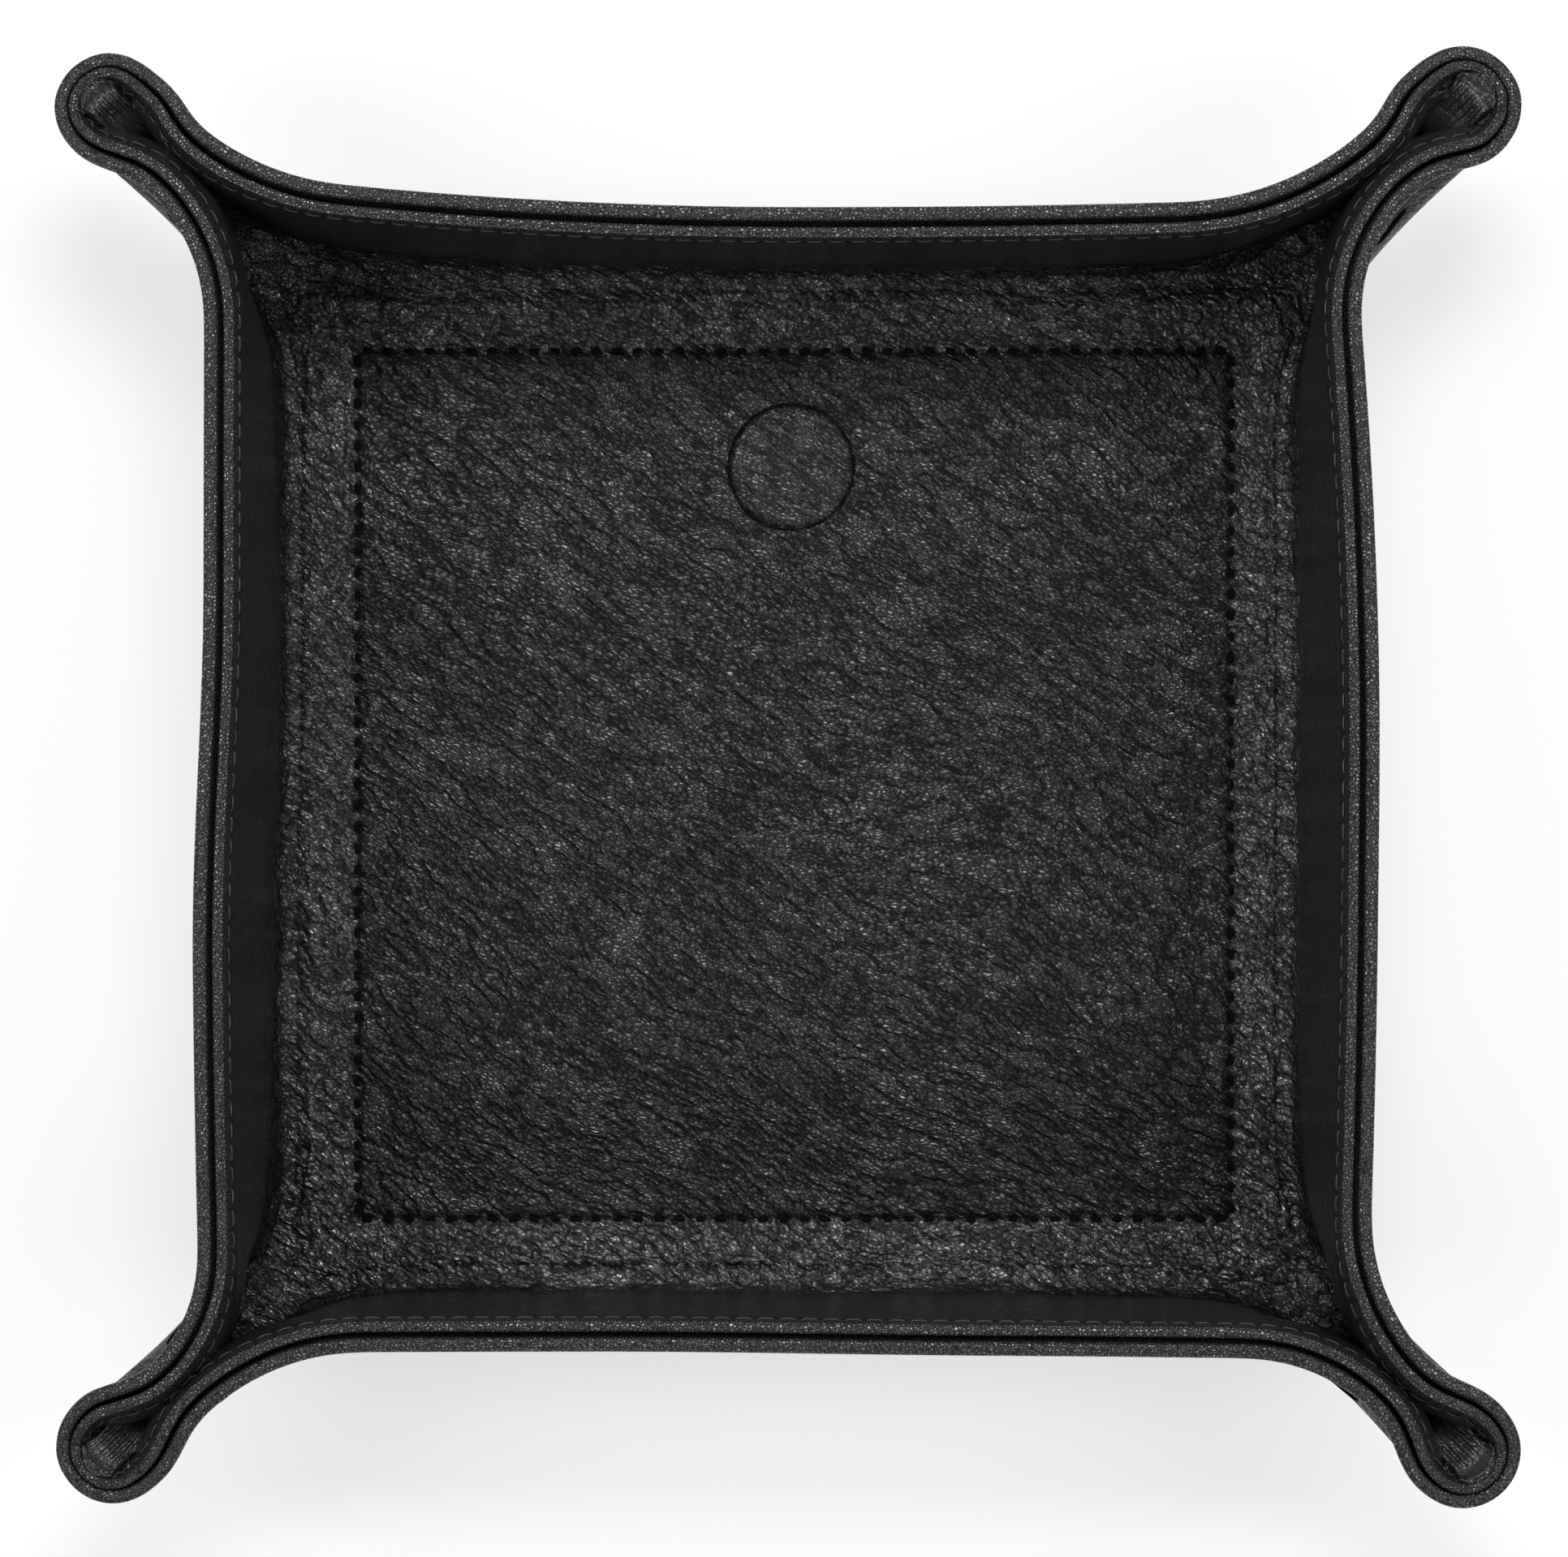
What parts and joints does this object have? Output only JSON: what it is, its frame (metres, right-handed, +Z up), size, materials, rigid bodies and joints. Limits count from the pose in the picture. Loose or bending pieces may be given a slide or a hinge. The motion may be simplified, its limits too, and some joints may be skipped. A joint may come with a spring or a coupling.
{
  "type": "valet tray",
  "caption": "Square leather valet tray with bowed walls, pinched loop corners and a stitched floor, for keys and small pocket things.",
  "frame": {"origin": "on the underside, under the middle of the tray's bounding box", "axes": "+Z up out of the tray, +Y to the back, where the pressed disc is, +X to the right"},
  "size_m": [0.2, 0.1986, 0.036],
  "materials": {
    "outer_leather": "black pebbled leather, semi-gloss",
    "lining_leather": "black pebbled leather, semi-gloss",
    "board": "grey-brown pressed fibre board, matt",
    "thread": "black waxed thread"
  },
  "bodies": {
    "root": {"outer_cover": "outer_leather", "lining": "lining_leather", "floor_board": "board", "wall_board_front": "board", "wall_board_back": "board", "wall_board_left": "board", "wall_board_right": "board", "corner_tack_front_left": "thread", "corner_tack_front_right": "thread", "corner_tack_back_left": "thread", "corner_tack_back_right": "thread"}
  },
  "joints": []
}
